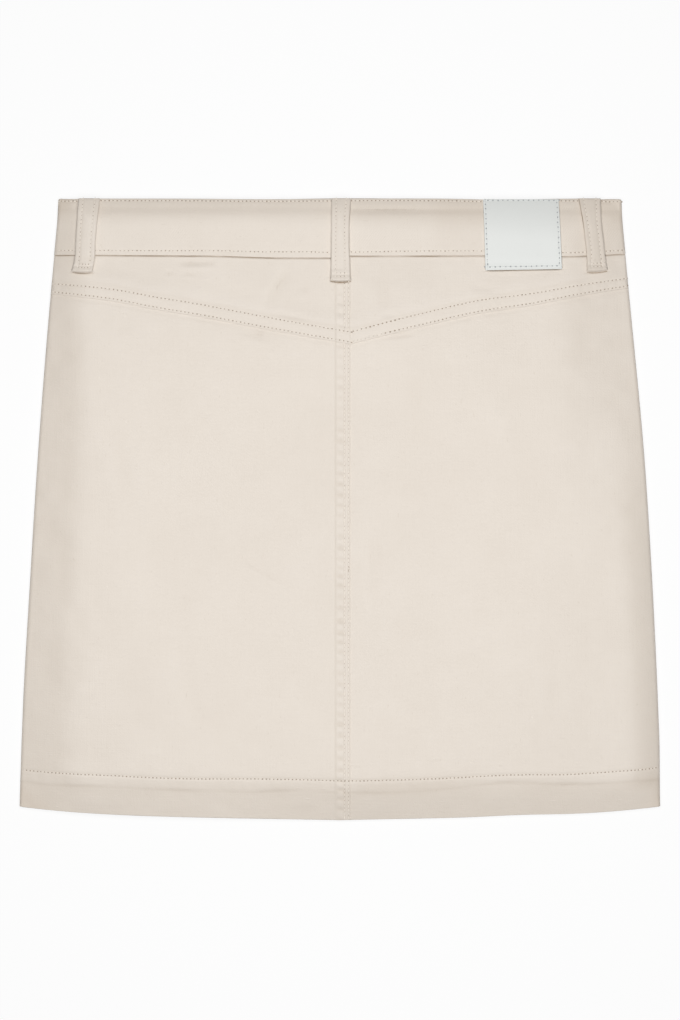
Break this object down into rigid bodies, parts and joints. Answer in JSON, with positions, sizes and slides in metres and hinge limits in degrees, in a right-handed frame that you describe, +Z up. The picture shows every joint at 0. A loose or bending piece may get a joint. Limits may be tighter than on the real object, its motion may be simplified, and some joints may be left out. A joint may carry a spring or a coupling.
{
  "type": "denim skirt laid flat",
  "caption": "Ecru denim mini skirt laid flat with its back up: pointed yoke, felled seams, belt loops, plain leather patch.",
  "frame": {"origin": "middle of the laid skirt, on the surface it lies on", "axes": "+Z up, out of the back of the skirt; +Y towards the waist; +X towards the wearer's right, the width of the hem"},
  "size_m": [0.4614, 0.4482, 0.0153],
  "materials": {
    "denim": "matt cotton twill, undyed",
    "thread": "twisted topstitching thread, tonal",
    "leather": "smooth pale leather",
    "button_metal": "aged, satin",
    "zip_tape": "woven tape"
  },
  "bodies": {
    "root": {"back_yoke_left": "denim", "back_yoke_right": "denim", "back_panel_left": "denim", "back_panel_right": "denim", "front_panel_left": "denim", "front_panel_right": "denim", "waistband": "denim", "belt_loop_left": "denim", "belt_loop_centre": "denim", "belt_loop_right": "denim", "leather_patch": "leather", "waist_button": "button_metal", "fly_zip": "zip_tape"}
  },
  "joints": []
}
